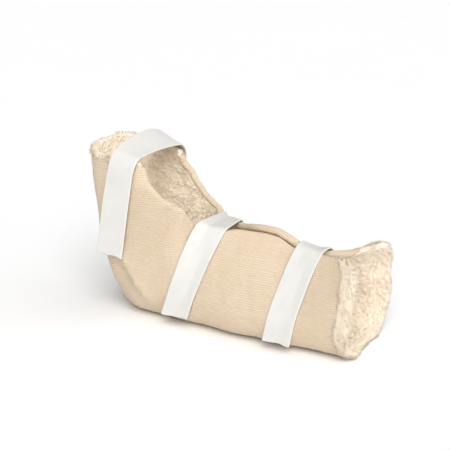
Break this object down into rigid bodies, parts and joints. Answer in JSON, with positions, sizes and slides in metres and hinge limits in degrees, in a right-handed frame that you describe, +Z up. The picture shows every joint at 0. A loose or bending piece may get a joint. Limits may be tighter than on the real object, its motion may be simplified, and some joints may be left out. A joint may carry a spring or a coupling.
{
  "type": "heel protector",
  "caption": "Soft open L-shaped boot of synthetic sheepskin that wraps foot, heel and lower leg and closes over the front with hook-and-loop straps.",
  "frame": {"origin": "on the floor under the middle of the bounding box, with the boot resting on the back of its leg part", "axes": "+X along the leg part from the heel to the calf end, +Y across to the side where the straps are sewn, +Z up, the way the toes point"},
  "size_m": [0.356, 0.1326, 0.2159],
  "materials": {
    "knit": "matte tan knit with fine cross ribs",
    "pile": "soft cream pile",
    "strap": "white brushed hook-and-loop tape"
  },
  "bodies": {
    "root": {"knit_shell": "knit", "pile_lining": "pile", "toe_strap": "strap", "ankle_strap": "strap", "shin_strap": "strap"}
  },
  "joints": []
}
